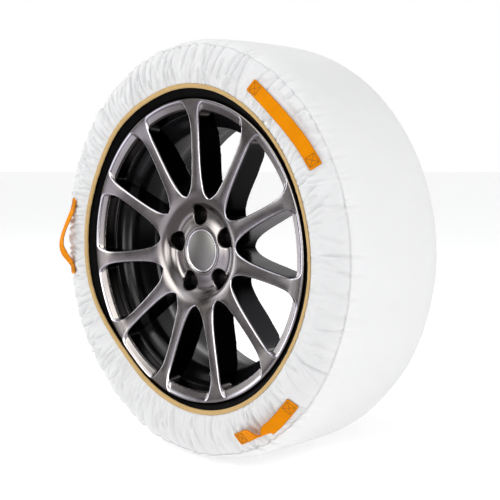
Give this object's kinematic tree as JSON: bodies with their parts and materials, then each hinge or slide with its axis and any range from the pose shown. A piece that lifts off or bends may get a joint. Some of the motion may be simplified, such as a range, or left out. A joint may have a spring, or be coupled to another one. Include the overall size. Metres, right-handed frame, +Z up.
{
  "type": "snow sock on wheel",
  "caption": "Fabric snow sock with elastic edge bindings and pull straps, stretched over the tyre of a multi-spoke alloy wheel to give grip on snow.",
  "frame": {"origin": "centre of the wheel's hub mounting face, on the wheel axis", "axes": "+Y along the wheel axis towards the vehicle, so the outboard face looks along -Y; +Z up; +X to the right seen from outboard"},
  "size_m": [0.6489, 0.2542, 0.649],
  "materials": {
    "gunmetal": "dark chrome paint, glossy",
    "gloss_black": "gloss black paint",
    "cap_grey": "satin grey with a bright rim",
    "spring_steel": "plain wire",
    "valve_rubber": "matte",
    "brass": "turned",
    "cap_plastic": "matte black",
    "tyre_rubber": "dark sidewall rubber",
    "belt_ply": "rubberised steel cord",
    "liner_rubber": "smooth",
    "bead_steel": "bronze coated wire bundle",
    "white_fabric": "white polyester weave, matte",
    "seam_thread": "white overlock thread",
    "tan_binding": "tan elastic binding",
    "elastic": "rubber core elastic",
    "orange_webbing": "orange woven webbing",
    "orange_thread": "darker orange thread"
  },
  "bodies": {
    "wheel": {"wheel_hub": "gunmetal", "wheel_spokes": "gunmetal", "wheel_front_ring": "gunmetal", "wheel_barrel": "gloss_black", "valve_grommet": "valve_rubber", "valve_tube": "brass", "valve_core": "brass", "valve_spring": "spring_steel", "tyre_tread": "tyre_rubber", "tyre_belts": "belt_ply", "tyre_casing": "tyre_rubber", "tyre_inner_liner": "liner_rubber", "bead_core_front": "bead_steel", "bead_core_back": "bead_steel"},
    "cap": {"centre_cap": "cap_grey", "cap_spring_ring": "spring_steel"},
    "pin": {"valve_pin": "brass"},
    "dust_cap": {"valve_cap": "cap_plastic"},
    "sock": {"sock_tread_band": "white_fabric", "sock_front_panel": "white_fabric", "sock_back_panel": "white_fabric", "front_binding": "tan_binding", "back_binding": "tan_binding", "front_elastic_cord": "elastic", "back_elastic_cord": "elastic", "front_seam": "seam_thread", "back_seam": "seam_thread", "strap_1_sewn_ends": "orange_webbing", "strap_2_sewn_ends": "orange_webbing", "strap_3_sewn_ends": "orange_webbing", "strap_stitching": "orange_thread"},
    "strap_1": {"strap_1_loop": "orange_webbing"},
    "strap_2": {"strap_2_loop": "orange_webbing"},
    "strap_3": {"strap_3_loop": "orange_webbing"}
  },
  "joints": [
    {"name": "sock_turn", "type": "hinge", "parent": "wheel", "child": "sock", "pos_m": [0, 0, 0], "axis": [0, 1, 0], "continuous": true},
    {"name": "cap_pull", "type": "slide", "parent": "wheel", "child": "cap", "axis": [0, -1, 0], "range_m": [0, 0.025]},
    {"name": "valve_pin_press", "type": "slide", "parent": "wheel", "child": "pin", "axis": [-0.0863, -0.8339, 0.5451], "range_m": [-0.0012, 0], "stiffness_N_per_m": 600, "springref_m": 0.002},
    {"name": "valve_cap_pull", "type": "slide", "parent": "wheel", "child": "dust_cap", "axis": [-0.0863, -0.8339, 0.5451], "range_m": [0, 0.012]},
    {"name": "strap_1_pull", "type": "slide", "parent": "sock", "child": "strap_1", "axis": [0, -1, 0], "range_m": [0, 0.01]},
    {"name": "strap_2_pull", "type": "slide", "parent": "sock", "child": "strap_2", "axis": [0, -1, 0], "range_m": [0, 0.015]},
    {"name": "strap_3_pull", "type": "slide", "parent": "sock", "child": "strap_3", "axis": [0, -1, 0], "range_m": [0, 0.015]}
  ]
}
